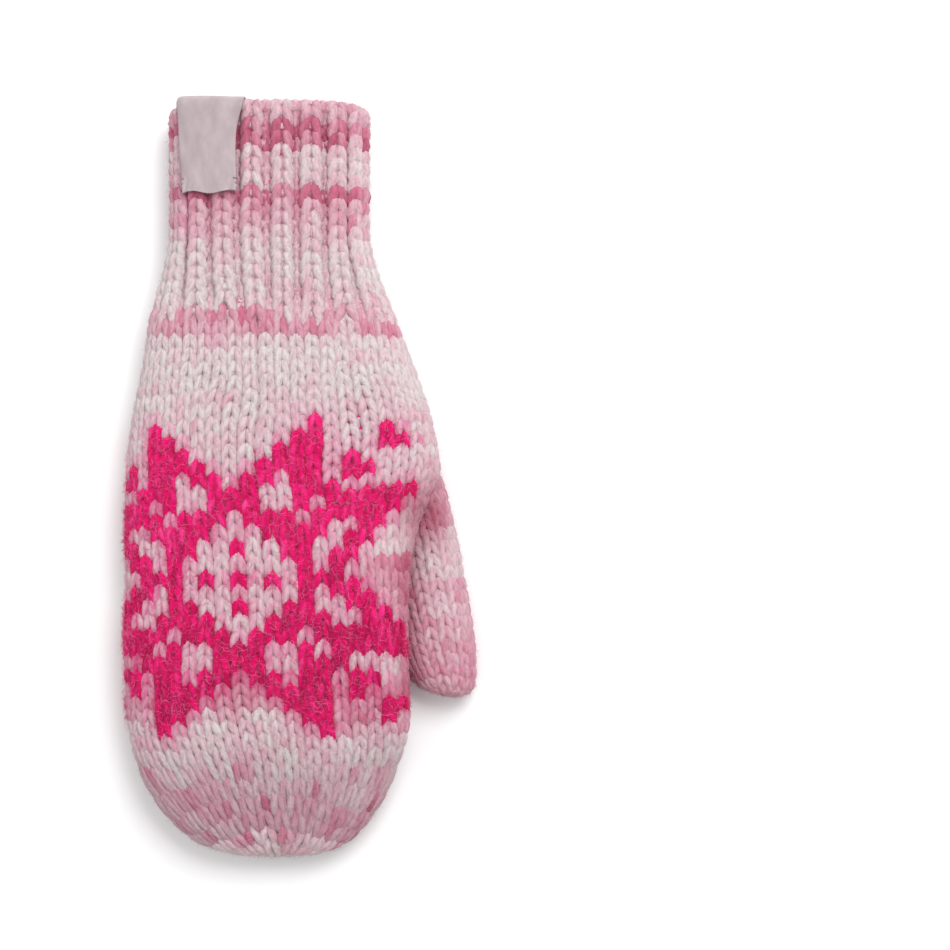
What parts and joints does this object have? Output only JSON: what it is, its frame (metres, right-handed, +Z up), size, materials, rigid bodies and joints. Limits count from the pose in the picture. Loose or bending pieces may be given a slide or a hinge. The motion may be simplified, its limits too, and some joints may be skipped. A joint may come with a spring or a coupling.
{
  "type": "knitted mitten",
  "caption": "Chunky knitted mitten with a ribbed cuff, an eight-petal star on the back and a small folded label.",
  "frame": {"origin": "centre of the bounding box, on the surface that the mitten lies on", "axes": "+Y from the fingertips to the wrist opening, +X to the thumb's side, +Z up from the palm to the back"},
  "size_m": [0.1214, 0.261, 0.0298],
  "materials": {
    "cuff_yarn": "matte",
    "hand_yarn": "matte",
    "thumb_yarn": "matte",
    "label_tape": "satin"
  },
  "bodies": {
    "root": {"cuff": "cuff_yarn", "hand": "hand_yarn", "thumb": "thumb_yarn", "label": "label_tape"}
  },
  "joints": []
}
